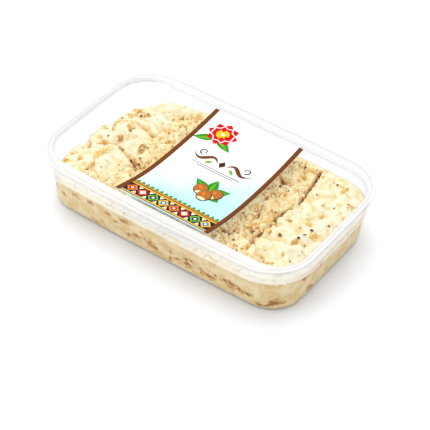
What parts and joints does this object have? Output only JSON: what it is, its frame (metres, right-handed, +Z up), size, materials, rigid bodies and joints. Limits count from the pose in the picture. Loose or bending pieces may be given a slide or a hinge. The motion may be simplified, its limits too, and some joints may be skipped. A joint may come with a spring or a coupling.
{
  "type": "halva block in a lidded tub",
  "caption": "Rough-topped hazelnut halva block in a clear rectangular tub with rounded corners, a press-fit lid and a printed label across the lid.",
  "frame": {"origin": "centre of the underside, on the surface the tub stands on", "axes": "+X along the tub's length, +Y across it towards the back, +Z up"},
  "size_m": [0.1662, 0.1066, 0.0335],
  "materials": {
    "clear_tub": "clear, slightly hazy moulded polypropylene",
    "clear_lid": "clear, slightly milky moulded polypropylene",
    "printed_label": "satin printed film",
    "hazelnut_halva": "crumbly pale sesame paste with chopped hazelnuts"
  },
  "bodies": {
    "root": {"tub": "clear_tub", "lid": "clear_lid", "label": "printed_label", "halva_block": "hazelnut_halva"}
  },
  "joints": []
}
